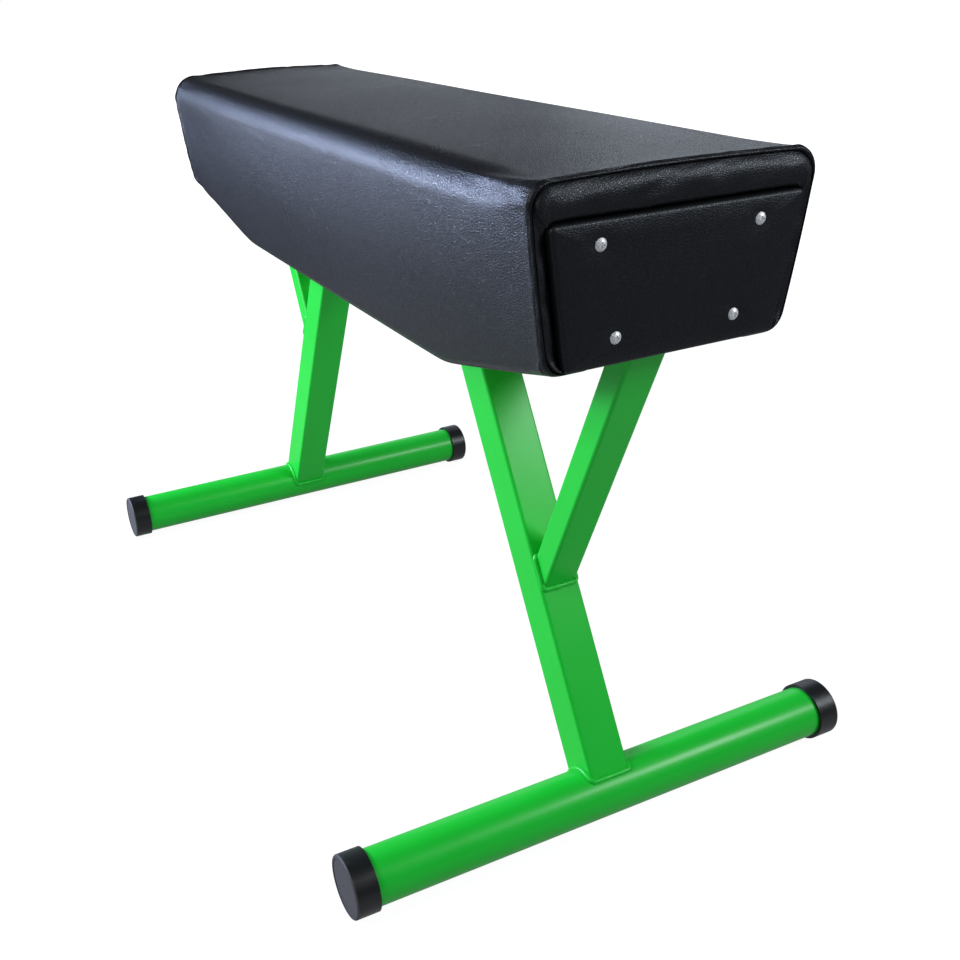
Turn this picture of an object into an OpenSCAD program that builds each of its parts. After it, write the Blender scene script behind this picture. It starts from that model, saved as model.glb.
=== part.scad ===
// Padded gymnastics bench: a long boat-bottomed body on two Y-shaped legs.
// +X runs along the body towards its front end, +Z is up, and the origin lies on the floor
// under the middle of the body. The rear half mirrors the front half, but its post leans less and
// its branch leaves higher up.

/* [Body outside] */
// Length over the two end boards
body_len = 1046; // [1000:2:1090]
// Width across the top, measured where the slanting sides would meet it
top_w = 304; // [290:2:330]
// Width across the underside at the two ends
end_bottom_w = 254; // [240:2:270]
// Height of the top above the floor
top_height = 737; // [700:1:780]
// Depth of the body at its ends
end_depth = 169; // [160:1:185]
// Depth of the body along its middle
mid_depth = 223; // [210:1:240]
// Length of the slope under each end
slope_len = 211; // [190:1:230]
// Radius along the two top edges
top_edge_r = 34; // [20:1:40]
// Radius along the two lower edges
low_edge_r = 12; // [9:1:14]
// Rise of the crowned top over its edges
crown = 5; // [2:0.5:8]
// Swell of the padded sides
side_swell = 2; // [1:0.5:3]

/* [Cover and padding] */
// Thickness of the leather cloth
cloth_t = 1.5; // [1:0.1:2]
// How far the cloth turns in under the body
turn_in = 42; // [30:1:60]
// Thickness of the foam on the top
top_foam_t = 30; // [20:1:40]
// Thickness of the foam on the sides
side_foam_t = 10; // [6:1:12]
// Length of the soft corner between the sides and the end seam
end_round_len = 14; // [10:1:20]
// Depth of the soft corner between the sides and the end seam
end_round_depth = 6; // [4:0.5:8]

/* [Timber box] */
// Thickness of the boards
board_t = 15; // [12:1:18]
// Thickness of the side boards
side_board_t = 12; // [9:1:15]

/* [End boards] */
// How far an end board stands out past the end seam
end_proud = 6; // [5:0.5:9]
// Thickness of the padded end panel behind the end board
end_panel_t = 15; // [12:1:20]
// Depth of the seat that the end board lies in
end_seat = 9; // [8:0.5:10]
// Thickness of the timber in an end board
end_board_t = 8; // [6:0.5:9]
// Distance between the body's slanting sides and the end board's sides
end_board_in = 15.5; // [13:0.5:20]
// Drop from the body's top to the end board
end_board_drop = 39; // [34:1:46]
// Gap between the body's underside and the end board
end_board_lift = 3; // [2:0.5:6]
// Corner radius of the end board
end_board_r = 5; // [4:0.5:8]
// Thickness of the cloth and foam round the edge of an end board
edge_wrap_t = 3; // [2:0.5:4]
// Radius of the soft front edge of an end board
end_board_edge_r = 5; // [3:0.5:6]
// Rise of an end board's padding over its edge
end_board_crown = 1; // [0.5:0.5:2]
// Distance of the upper screws from the board's slanting sides
screw_top_side_in = 45; // [30:1:60]
// Distance of the lower screws from the board's slanting sides
screw_low_side_in = 52; // [30:1:60]
// Distance of the upper screws from the board's top edge
screw_top_in = 20; // [15:1:26]
// Distance of the lower screws from the board's bottom edge
screw_low_in = 25; // [15:1:30]
// Diameter of the screw heads
screw_head_d = 12; // [10:0.5:16]
// Diameter of the screw shanks
screw_d = 5; // [4:0.5:6]

/* [Feet] */
// Distance of a foot tube's axis in from the end seam
foot_in = 53; // [40:1:70]
// Length over the caps of a foot
foot_len = 640; // [500:10:760]
// Outside diameter of the foot tubes
foot_d = 60.3; // [50:0.1:70]
// Wall of the foot tubes
foot_wall = 3; // [2:0.5:4]
// Wall of the push-on caps
cap_wall = 3.7; // [2.5:0.1:5]
// Length of the push-on caps
cap_len = 27; // [20:1:36]
// Thickness of a cap's closed end
cap_end_t = 4; // [3:0.5:6]

/* [Legs] */
// Side of the square post tubes
post_w = 50; // [46:1:54]
// Wall of the post tubes
post_wall = 2.5; // [2:0.5:4]
// Distance of the front post's top from the bend of the underside, towards the middle
front_post_top_in = 132; // [110:1:150]
// The same distance of the rear post's top
rear_post_top_in = 66; // [62:1:90]
// Thickness of the branch tubes along the body
branch_t = 30; // [26:1:32]
// Distance of a branch's sides in from the post's sides
branch_side_in = 4; // [4:0.5:8]
// Wall of the branch tubes
branch_wall = 2; // [1.5:0.5:3]
// Distance of the front branch's top in from the end seam
front_branch_top_in = 43; // [40:1:60]
// The same distance of the rear branch's top
rear_branch_top_in = 77; // [60:1:90]
// Drop from the body's end to the root of the front branch
front_branch_drop = 303; // [270:1:330]
// The same drop of the rear branch
rear_branch_drop = 206; // [190:1:240]
// Width of the weld beads
weld_w = 3.5; // [2.5:0.5:4]

/* [Plates and bolts] */
// Length of a post's plate along the body
post_plate_len = 100; // [96:2:110]
// Length of a branch's plate along the body
branch_plate_len = 88; // [84:2:96]
// Width of the plates
plate_w = 110; // [96:2:130]
// Thickness of the plates
plate_t = 5; // [4:0.5:8]
// Diameter of the bolts
bolt_d = 8; // [6:1:10]

/* [Hidden] */

// Colours, as they are in the photograph
green = "#2fbf4c";
black = "#2b2d31";
cap_black = "#232426";
timber = "#c8a46c";
foam_tone = "#e6dcb8";
silver = "#d0d2d4";

// Clearances and overruns
overrun = 10;
soft_gap = 0.3;
weld_gap = 0.05;
hole_gap = 0.1;
thread_gap = 0.05;
pocket_gap = 0.3;
cap_gap = 0.15;

// Body in section: the sides lean out from the underside to the top
top_z = top_height - crown;
end_z = top_height - end_depth;
belly_z = top_height - mid_depth;
side_lean = atan((top_w - end_bottom_w) / 2 / (top_z - end_z));
seam_x = body_len / 2 - end_proud;
bend_x = seam_x - slope_len;
slope_tilt = atan((end_z - belly_z) / slope_len);
lining = cloth_t + soft_gap;
core_inset = lining + side_foam_t + soft_gap;
panel_back_x = seam_x - end_panel_t;
box_end_x = panel_back_x - soft_gap;
box_end_in_x = box_end_x - board_t;
core_top_z = top_z - lining - top_foam_t - soft_gap;
core_low_gap = lining;
foam_lift = low_edge_r + cloth_t;

// Points in each arc, side and crown of the body's section
low_steps = 3;
side_steps = 3;
top_steps = 8;
crown_steps = 5;

// Shares of the corner's length and depth at the stations that round the body into its end seam
round_len_shares = [0, 0.06, 0.23, 0.54, 1];
round_depth_shares = [1, 0.66, 0.36, 0.11, 0];

// The roll of the end panel from the seam to the board's seat, as shares of the way in and of the
// roll's height over the seat
roll_way_shares = [0, 0.16, 0.42, 0.68, 0.88, 1];
roll_height_shares = [0.8, 1.15, 1.38, 1.2, 0.7, 0];

// Steps round the soft front edge of an end board, and where its padding is at its full height
edge_steps = 3;
full_height_in = 4 * end_board_edge_r;

// Feet
cap_d = foot_d + 2 * cap_gap + 2 * cap_wall;
foot_x = seam_x - foot_in;
foot_z = cap_d / 2;
foot_r = foot_d / 2;

// Tubes of the legs, and the heights of their plates
tube_corner_r = 3 / 2 * post_wall;
branch_w = post_w - 2 * branch_side_in;
branch_past = post_w;
slope_low_z = end_z + core_low_gap;
plate_low_z = belly_z + core_low_gap;
plate_top_z = plate_low_z + plate_t;

// The two legs: how far in the post's top is, how far in the branch's top is, and the root's drop
front_leg = [front_post_top_in, front_branch_top_in, front_branch_drop];
rear_leg = [rear_post_top_in, rear_branch_top_in, rear_branch_drop];

// Plates, let in flush with the timber, with their bolts and tee nuts
post_bolt_x = post_plate_len / 2 - 2 * bolt_d;
post_bolt_y = plate_w / 2 - 2 * bolt_d;
branch_plate_out = branch_t / 2 + 3 * weld_w;
branch_bolt_x = branch_plate_len - branch_plate_out - 2 * bolt_d;
washer_d = 2 * bolt_d;
washer_t = bolt_d / 5;
bolt_head_w = 13 / 8 * bolt_d;
bolt_head_t = bolt_d * 2 / 3;
nut_barrel_d = 1.35 * bolt_d;
nut_flange_d = 2.4 * bolt_d;
nut_flange_t = bolt_d / 5;
nut_len = board_t - plate_t;
bolt_len = board_t + nut_flange_t + bolt_d / 2;

// Facets of round things
round_fn = 48;
small_fn = 24;

// A leg's post, from the middle of its foot tube to its plate under the flat of the body
function post_top_x(leg) = bend_x - leg[0];
function post_lean(leg) = atan((foot_x - post_top_x(leg)) / (plate_low_z - foot_z));
function post_run(leg) = (plate_low_z - foot_z) / cos(post_lean(leg));

// A leg's branch, from the post's outer face to its plate under the slope
function branch_top_x(leg) = seam_x - leg[1];
function branch_top_z(leg) = slope_low_z - leg[1] * tan(slope_tilt);
function joint_z(leg) = end_z - leg[2];
function joint_x(leg) = foot_x - (joint_z(leg) - foot_z) * tan(post_lean(leg)) + post_w / 2 / cos(post_lean(leg));
function branch_lean(leg) = atan((branch_top_x(leg) - joint_x(leg)) / (branch_top_z(leg) - joint_z(leg)));
function branch_run(leg) = (branch_top_z(leg) - joint_z(leg)) / cos(branch_lean(leg));

// Half the width of the slanting sides at a height, moved in by a distance square to the side
function half_w(z, inset) = end_bottom_w / 2 + (z - end_z) * tan(side_lean) - inset / cos(side_lean);

// Height of the underside along the body
function under_z(x) = end_z - max(0, min(seam_x - abs(x), slope_len)) * tan(slope_tilt);

// Swell of the padded side at a height
function side_out(z) =
    let (u = (z - belly_z - low_edge_r) / (top_z - top_edge_r - belly_z - low_edge_r))
    4 * side_swell * max(u, 0) * max(1 - u, 0);

// Points of an arc
function arc(cy, cz, r, from, to, steps) =
    [for (i = [0 : steps]) [cy + r * cos(from + (to - from) * i / steps), cz + r * sin(from + (to - from) * i / steps)]];

// Half of the body's section, from its underside up over the side towards the middle of the top:
// moved in by a distance all round, and drawn in by another at the sides and the top only
function half_section(low_z, inset, drawn) =
    let (
        zt = top_z - inset - drawn,
        rt = top_edge_r - inset,
        rb = low_edge_r - inset,
        in = inset + drawn,
        ct = [half_w(zt - rt, in + rt), zt - rt],
        cb = [half_w(low_z + low_edge_r, in + rb) + side_out(low_z + low_edge_r), low_z + low_edge_r],
        low = arc(cb[0], cb[1], rb, -90, -side_lean, low_steps),
        high = arc(ct[0], ct[1], rt, -side_lean, 90, top_steps),
        from_z = low[low_steps][1],
        to_z = high[0][1],
        side = [for (i = [1 : side_steps])
            let (z = from_z + (to_z - from_z) * i / (side_steps + 1))
            [half_w(z, in) + side_out(z), z]],
        over = [for (i = [1 : crown_steps - 1])
            let (u = 1 - i / crown_steps)
            [ct[0] * u, zt + crown * (1 - u * u)]]
    )
    concat(low, side, high, over);

// Whole section, with the point in the middle of the top
function section(low_z, inset, drawn) =
    let (half = half_section(low_z, inset, drawn))
    concat(half, [[0, top_z - inset - drawn + crown]], [for (i = [len(half) - 1 : -1 : 0]) [-half[i][0], half[i][1]]]);

// The same count of points round an end board's outline, grown by a distance
function board_ring(grow) =
    let (
        zt = top_height - end_board_drop + grow,
        zb = end_z + end_board_lift - grow,
        r = max(end_board_r + grow, cloth_t),
        in = end_board_in - grow + r,
        ct = [half_w(zt - r, in), zt - r],
        cb = [half_w(zb + r, in), zb + r],
        low = arc(cb[0], cb[1], r, -90, -side_lean, low_steps),
        high = arc(ct[0], ct[1], r, -side_lean, 90, top_steps),
        from = low[low_steps],
        to = high[0],
        side = [for (i = [1 : side_steps]) from + (to - from) * i / (side_steps + 1)],
        over = [for (i = [1 : crown_steps - 1]) [ct[0] * (1 - i / crown_steps), zt]],
        half = concat(low, side, high, over)
    )
    concat(half, [[0, zt]], [for (i = [len(half) - 1 : -1 : 0]) [-half[i][0], half[i][1]]]);

// Stations along the cover: x, and how far the section is drawn in there
round_stations = [for (i = [0 : len(round_len_shares) - 1])
    [seam_x - round_len_shares[i] * end_round_len, round_depth_shares[i] * end_round_depth]];
cover_half = concat(round_stations, [[bend_x, 0]]);
cover_stations = concat(cover_half, [[0, 0]],
    [for (i = [len(cover_half) - 1 : -1 : 0]) [-cover_half[i][0], cover_half[i][1]]]);

// Solid through a row of rings that have the same count of points
module loft(rings) {
    n = len(rings[0]);
    m = len(rings);
    sides = [for (j = [0 : m - 2], i = [0 : n - 1], t = [0, 1])
        let (a = j * n + i, b = j * n + (i + 1) % n, c = a + n, d = b + n)
        t == 0 ? [a, b, d] : [a, d, c]];
    ends = [[for (i = [n - 1 : -1 : 0]) i], [for (i = [0 : n - 1]) (m - 1) * n + i]];
    polyhedron(points = [for (r = rings, p = r) p], faces = concat(sides, ends));
}

// Solid through a row of open bands: each ring is an outer path and then the inner path back
module band_loft(rings) {
    n = len(rings[0]);
    m = len(rings);
    h = n / 2;
    last = (m - 1) * n;
    sides = [for (j = [0 : m - 2], i = [0 : n - 1], t = [0, 1])
        let (a = j * n + i, b = j * n + (i + 1) % n, c = a + n, d = b + n)
        t == 0 ? [a, b, d] : [a, d, c]];
    first_end = [for (i = [0 : h - 2], t = [0, 1])
        t == 0 ? [i + 1, i, n - 1 - i] : [i + 1, n - 1 - i, n - 2 - i]];
    last_end = [for (i = [0 : h - 2], t = [0, 1])
        t == 0 ? [last + i, last + i + 1, last + n - 1 - i] : [last + i + 1, last + n - 2 - i, last + n - 1 - i]];
    polyhedron(points = [for (r = rings, p = r) p], faces = concat(sides, first_end, last_end));
}

// A drawing in Y and Z, pushed along X from one place to another
module along_x(from, to) {
    translate([from, 0, 0])
        rotate([90, 0, 90])
            linear_extrude(height = to - from)
                children();
}

// A drawing in X and Z, pushed along Y from one place to another
module along_y(from, to) {
    translate([0, to, 0])
        rotate([90, 0, 0])
            linear_extrude(height = to - from)
                children();
}

// Block between the two slanting sides moved in by a distance, from one height to another
module box_between(inset, from_z, to_z, from_x, to_x) {
    along_x(from_x, to_x)
        polygon([
            [-half_w(from_z, inset), from_z],
            [half_w(from_z, inset), from_z],
            [half_w(to_z, inset), to_z],
            [-half_w(to_z, inset), to_z]
        ]);
}

// Everything above the body's underside, raised by a distance
module above_under(lift) {
    along_y(-top_w, top_w)
        polygon([
            [-seam_x - overrun, end_z + lift],
            [-seam_x, end_z + lift],
            [-bend_x, belly_z + lift],
            [bend_x, belly_z + lift],
            [seam_x, end_z + lift],
            [seam_x + overrun, end_z + lift],
            [seam_x + overrun, top_height + overrun],
            [-seam_x - overrun, top_height + overrun]
        ]);
}

// Turns the front piece into the rear one
module at_rear() {
    mirror([1, 0, 0])
        children();
}

// Square-cornered tube outline with rounded edges
module tube_outline(w, d, r) {
    square([w - 2 * r, d], center = true);
    square([w, d - 2 * r], center = true);
    for (x = [-1, 1], y = [-1, 1])
        translate([x * (w / 2 - r), y * (d / 2 - r)])
            circle(r = r, $fn = small_fn);
}

module hollow_outline(w, d, wall) {
    difference() {
        tube_outline(w, d, tube_corner_r);
        square([w - 2 * wall, d - 2 * wall], center = true);
    }
}

// Places a front leg's drawing on the post's axis, from the foot's centre upwards
module on_post(leg) {
    translate([foot_x, 0, foot_z])
        rotate([0, -post_lean(leg), 0])
            children();
}

// Places a drawing on the branch's axis, from the post's outer face upwards
module on_branch(leg) {
    translate([joint_x(leg), 0, joint_z(leg)])
        rotate([0, branch_lean(leg), 0])
            children();
}

// Everything above the plane of a post's plate
module over_post_plate() {
    translate([0, -foot_len / 2, plate_low_z])
        cube([2 * foot_x, foot_len, top_height]);
}

// Frame of a branch's plate: its origin is where the branch's axis meets the timber, and +X runs
// up the slope towards the end of the body
module on_slope(leg) {
    translate([branch_top_x(leg), 0, branch_top_z(leg)])
        rotate([0, -slope_tilt, 0])
            children();
}

module over_branch_plate(leg) {
    on_slope(leg)
        translate([-foot_x, -foot_len / 2, 0])
            cube([2 * foot_x, foot_len, top_height]);
}

// The post's side of its outer face, where a branch is cut
module behind_outer_face(leg) {
    on_post(leg)
        translate([-2 * foot_x, -foot_len / 2, -foot_len])
            cube([2 * foot_x + post_w / 2, foot_len, 2 * top_height]);
}

module foot_tube() {
    color(green)
        difference() {
            translate([foot_x, 0, foot_z])
                rotate([90, 0, 0])
                    cylinder(r = foot_r, h = foot_len - 2 * cap_end_t, center = true, $fn = round_fn);
            translate([foot_x, 0, foot_z])
                rotate([90, 0, 0])
                    cylinder(r = foot_r - foot_wall, h = foot_len, center = true, $fn = round_fn);
        }
}

// A push-on cap in section: its closed end is at the top of the drawing
module cap_profile() {
    edge_r = cap_end_t / 2;
    dish_r = cap_d / 2 - 2 * edge_r;
    dish_t = cap_end_t / 6;
    difference() {
        union() {
            square([cap_d / 2 - edge_r, cap_len]);
            square([cap_d / 2, cap_len - edge_r]);
            translate([cap_d / 2 - edge_r, cap_len - edge_r])
                circle(r = edge_r, $fn = small_fn);
        }
        translate([0, cap_len - dish_t])
            square([dish_r, overrun]);
        translate([0, -overrun])
            square([foot_r + cap_gap, cap_len - cap_end_t + overrun]);
    }
}

module foot_cap(side) {
    color(cap_black)
        translate([foot_x, side * (foot_len / 2 - cap_len), foot_z])
            rotate([-side * 90, 0, 0])
                rotate_extrude($fn = round_fn)
                    cap_profile();
}

module post(leg) {
    color(green)
        difference() {
            on_post(leg)
                linear_extrude(height = post_run(leg) + post_w)
                    hollow_outline(post_w, post_w, post_wall);
            translate([foot_x, 0, foot_z])
                rotate([90, 0, 0])
                    cylinder(r = foot_r + weld_gap, h = foot_len, center = true, $fn = round_fn);
            over_post_plate();
        }
}

module branch(leg) {
    color(green)
        difference() {
            on_branch(leg)
                translate([0, 0, -branch_past])
                    linear_extrude(height = branch_run(leg) + 2 * branch_past)
                        hollow_outline(branch_t, branch_w, branch_wall);
            behind_outer_face(leg);
            over_branch_plate(leg);
        }
}

// Bead round the post where it stands on the foot tube
module foot_weld(leg) {
    color(green)
        difference() {
            intersection() {
                on_post(leg)
                    linear_extrude(height = post_w)
                        tube_outline(post_w + 2 * weld_w, post_w + 2 * weld_w, tube_corner_r + weld_w);
                translate([foot_x, 0, foot_z])
                    rotate([90, 0, 0])
                        cylinder(r = foot_r + weld_w, h = 2 * post_w, center = true, $fn = round_fn);
            }
            translate([foot_x, 0, foot_z])
                rotate([90, 0, 0])
                    cylinder(r = foot_r + weld_gap, h = foot_len, center = true, $fn = round_fn);
            on_post(leg)
                linear_extrude(height = 2 * post_w)
                    tube_outline(post_w + 2 * weld_gap, post_w + 2 * weld_gap, tube_corner_r + weld_gap);
        }
}

// Bead round the branch where it meets the post
module branch_weld(leg) {
    color(green)
        difference() {
            intersection() {
                on_branch(leg)
                    translate([0, 0, -branch_past])
                        linear_extrude(height = 2 * branch_past)
                            tube_outline(branch_t + 2 * weld_w, branch_w + 2 * weld_w, tube_corner_r + weld_w);
                on_post(leg)
                    translate([post_w / 2, -post_w / 2, 0])
                        cube([weld_w, post_w, post_run(leg)]);
            }
            on_branch(leg)
                translate([0, 0, -branch_past])
                    linear_extrude(height = 3 * branch_past)
                        tube_outline(branch_t + 2 * weld_gap, branch_w + 2 * weld_gap, tube_corner_r + weld_gap);
        }
}

// Beads round the tops of the post and the branch, under their plates
module plate_weld(leg) {
    color(green) {
        difference() {
            intersection() {
                on_post(leg)
                    linear_extrude(height = post_run(leg) + post_w)
                        tube_outline(post_w + 2 * weld_w, post_w + 2 * weld_w, tube_corner_r + weld_w);
                translate([0, -post_w, plate_low_z - weld_w])
                    cube([2 * foot_x, 2 * post_w, weld_w]);
            }
            on_post(leg)
                linear_extrude(height = post_run(leg) + 2 * post_w)
                    tube_outline(post_w + 2 * weld_gap, post_w + 2 * weld_gap, tube_corner_r + weld_gap);
        }
        difference() {
            intersection() {
                on_branch(leg)
                    linear_extrude(height = branch_run(leg) + branch_past)
                        tube_outline(branch_t + 2 * weld_w, branch_w + 2 * weld_w, tube_corner_r + weld_w);
                on_slope(leg)
                    translate([-branch_plate_len, -post_w, -weld_w])
                        cube([2 * branch_plate_len, 2 * post_w, weld_w]);
            }
            on_branch(leg)
                linear_extrude(height = branch_run(leg) + 2 * branch_past)
                    tube_outline(branch_t + 2 * weld_gap, branch_w + 2 * weld_gap, tube_corner_r + weld_gap);
        }
    }
}

// Puts something at each bolt of the post's plate, with the plate's upper face at zero
module at_post_bolts(leg) {
    translate([post_top_x(leg), 0, plate_top_z])
        for (x = [-1, 1], y = [-1, 1])
            translate([x * post_bolt_x, y * post_bolt_y, 0])
                children();
}

// Puts something at each bolt of the branch's plate, with the plate's upper face at zero
module at_branch_bolts(leg) {
    on_slope(leg)
        for (y = [-1, 1])
            translate([-branch_bolt_x, y * post_bolt_y, plate_t])
                children();
}

module bolt_hole(d) {
    translate([0, 0, -overrun])
        cylinder(d = d, h = board_t + 2 * overrun, $fn = small_fn);
}

// A plate's block, grown by a distance all round for its pocket in the timber
module post_plate_block(leg, grow) {
    translate([post_top_x(leg) - post_plate_len / 2 - grow, -plate_w / 2 - grow, plate_low_z - grow])
        cube([post_plate_len + 2 * grow, plate_w + 2 * grow, plate_t + grow]);
}

module branch_plate_block(leg, grow) {
    on_slope(leg)
        translate([branch_plate_out - branch_plate_len - grow, -plate_w / 2 - grow, -grow])
            cube([branch_plate_len + 2 * grow, plate_w + 2 * grow, plate_t + grow]);
}

module post_plate(leg) {
    color(green)
        difference() {
            post_plate_block(leg, 0);
            at_post_bolts(leg)
                bolt_hole(bolt_d + 4 * hole_gap);
        }
}

module branch_plate(leg) {
    color(green)
        difference() {
            branch_plate_block(leg, 0);
            at_branch_bolts(leg)
                bolt_hole(bolt_d + 4 * hole_gap);
        }
}

module washer() {
    translate([0, 0, -plate_t - washer_t])
        difference() {
            cylinder(d = washer_d, h = washer_t, $fn = small_fn);
            translate([0, 0, -overrun])
                cylinder(d = bolt_d + 4 * hole_gap, h = 2 * overrun, $fn = small_fn);
        }
}

module plate_washers(leg) {
    color(silver) {
        at_post_bolts(leg)
            washer();
        at_branch_bolts(leg)
            washer();
    }
}

module bolt() {
    translate([0, 0, -plate_t - washer_t]) {
        cylinder(d = bolt_d, h = bolt_len + washer_t, $fn = small_fn);
        translate([0, 0, -bolt_head_t])
            cylinder(d = bolt_head_w / cos(30), h = bolt_head_t, $fn = 6);
    }
}

module plate_bolts(leg) {
    color(silver) {
        at_post_bolts(leg)
            bolt();
        at_branch_bolts(leg)
            bolt();
    }
}

module tee_nut() {
    difference() {
        union() {
            cylinder(d = nut_barrel_d, h = nut_len, $fn = small_fn);
            translate([0, 0, nut_len])
                cylinder(d = nut_flange_d, h = nut_flange_t, $fn = small_fn);
        }
        translate([0, 0, -overrun])
            cylinder(d = bolt_d + 2 * thread_gap, h = board_t + 2 * overrun, $fn = small_fn);
    }
}

module tee_nuts(leg) {
    color(silver) {
        at_post_bolts(leg)
            tee_nut();
        at_branch_bolts(leg)
            tee_nut();
    }
}

module top_board() {
    color(timber)
        box_between(core_inset, core_top_z - board_t, core_top_z, -box_end_x, box_end_x);
}

module side_board(side) {
    color(timber)
        intersection() {
            difference() {
                box_between(core_inset, belly_z, core_top_z - board_t, -box_end_in_x, box_end_in_x);
                box_between(core_inset + side_board_t, belly_z - overrun, core_top_z, -seam_x, seam_x);
            }
            above_under(core_low_gap);
            translate([-seam_x, side > 0 ? 0 : -top_w, 0])
                cube([2 * seam_x, top_w, top_height]);
        }
}

// Pocket and holes for a post's plate and its tee nuts
module post_seat(leg) {
    post_plate_block(leg, pocket_gap);
    at_post_bolts(leg)
        bolt_hole(nut_barrel_d + 2 * hole_gap);
}

module bottom_board() {
    color(timber)
        difference() {
            box_between(core_inset + side_board_t, plate_low_z, plate_low_z + board_t, -bend_x, bend_x);
            post_seat(front_leg);
            at_rear()
                post_seat(rear_leg);
        }
}

module slope_board(leg) {
    drop = (seam_x - box_end_in_x) * tan(slope_tilt);
    up = board_t / cos(slope_tilt);
    color(timber)
        difference() {
            intersection() {
                box_between(core_inset + side_board_t, belly_z, core_top_z, bend_x, box_end_in_x);
                along_y(-top_w, top_w)
                    polygon([
                        [bend_x, plate_low_z],
                        [box_end_in_x, slope_low_z - drop],
                        [box_end_in_x, slope_low_z - drop + up],
                        [bend_x, plate_low_z + up]
                    ]);
            }
            branch_plate_block(leg, pocket_gap);
            at_branch_bolts(leg)
                bolt_hole(nut_barrel_d + 2 * hole_gap);
        }
}

module box_end(leg) {
    color(timber)
        difference() {
            intersection() {
                box_between(core_inset, belly_z, core_top_z - board_t, box_end_in_x, box_end_x);
                above_under(core_low_gap);
            }
            branch_plate_block(leg, pocket_gap);
            at_screws()
                screw_hole(thread_gap);
        }
}

module bulkhead() {
    place_x = bend_x - board_t;
    color(timber)
        box_between(core_inset + side_board_t, plate_low_z + board_t, core_top_z - board_t, place_x, place_x + board_t);
}

module foam_block() {
    along_x(-panel_back_x + soft_gap, panel_back_x - soft_gap)
        polygon(section(belly_z, lining, 0));
}

module top_foam() {
    color(foam_tone)
        intersection() {
            foam_block();
            translate([-seam_x, -top_w, core_top_z])
                cube([2 * seam_x, 2 * top_w, top_height]);
        }
}

module side_foam(side) {
    color(foam_tone)
        intersection() {
            difference() {
                foam_block();
                box_between(core_inset - soft_gap, belly_z - overrun, top_height, -seam_x, seam_x);
            }
            above_under(foam_lift);
            translate([-seam_x, side > 0 ? 0 : -top_w, 0])
                cube([2 * seam_x, top_w, core_top_z - soft_gap]);
        }
}

// One band of the cover: its outside from one turned-in edge to the other, and the inside back
function cover_band(x, drawn) =
    let (
        low = under_z(x),
        edge_y = end_bottom_w / 2 - turn_in,
        out_path = concat([[edge_y, low]], section(low, 0, drawn), [[-edge_y, low]]),
        in_path = concat([[edge_y, low + cloth_t]], section(low, cloth_t, drawn), [[-edge_y, low + cloth_t]])
    )
    [for (p = out_path) [x, p[0], p[1]], for (i = [len(in_path) - 1 : -1 : 0]) [x, in_path[i][0], in_path[i][1]]];

module cover() {
    color(black)
        band_loft([for (i = [len(cover_stations) - 1 : -1 : 0]) cover_band(cover_stations[i][0], cover_stations[i][1])]);
}

// One ring of an end panel, between the end seam and the end board's seat
function panel_ring(way, height) =
    let (
        seam = section(end_z, lining, end_round_depth),
        seat = board_ring(0)
    )
    [for (i = [0 : len(seam) - 1])
        let (p = seam[i] + (seat[i] - seam[i]) * way)
        [seam_x - end_seat + height * end_seat, p[0], p[1]]];

module end_panel() {
    back = [for (p = section(end_z, lining, end_round_depth)) [panel_back_x, p[0], p[1]]];
    roll = [for (i = [0 : len(roll_way_shares) - 1]) panel_ring(roll_way_shares[i], roll_height_shares[i])];
    color(black)
        difference() {
            loft(concat([back], roll));
            at_screws()
                screw_hole(hole_gap);
        }
}

// Puts something at each screw of the front end board, pointing out of the body
module at_screws() {
    top = top_height - end_board_drop - screw_top_in;
    low = end_z + end_board_lift + screw_low_in;
    for (side = [-1, 1], place = [[top, screw_top_side_in], [low, screw_low_side_in]])
        translate([seam_x - end_seat, side * half_w(place[0], end_board_in + place[1]), place[0]])
            rotate([0, 90, 0])
                children();
}

module screw_hole(gap) {
    translate([0, 0, -end_panel_t - board_t])
        cylinder(d = screw_d + 2 * gap, h = 2 * end_panel_t + 2 * board_t, $fn = small_fn);
}

module end_board() {
    color(timber)
        difference() {
            along_x(seam_x - end_seat + soft_gap, seam_x - end_seat + soft_gap + end_board_t)
                polygon(board_ring(-edge_wrap_t - soft_gap));
            at_screws()
                screw_hole(hole_gap);
        }
}

// One ring of an end board's padding, at a place along the body and a distance in from its outline
function pad_ring(x, in) = [for (p = board_ring(-in)) [x, p[0], p[1]]];

// Padding and cloth over an end board: its front edge is round, and its back is open for the board
module end_pad() {
    back_x = seam_x - end_seat + soft_gap;
    front_x = body_len / 2;
    edge_x = front_x - end_board_crown - end_board_edge_r;
    edge = [for (i = [0 : edge_steps])
        let (a = 90 * i / edge_steps)
        pad_ring(edge_x + end_board_edge_r * sin(a), end_board_edge_r * (1 - cos(a)))];
    hollow = [pad_ring(back_x + end_board_t + soft_gap, edge_wrap_t), pad_ring(back_x, edge_wrap_t)];
    color(black)
        difference() {
            loft(concat(hollow, [pad_ring(back_x, 0)], edge, [pad_ring(front_x, full_height_in)]));
            at_screws()
                screw_hole(hole_gap);
        }
}

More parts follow.
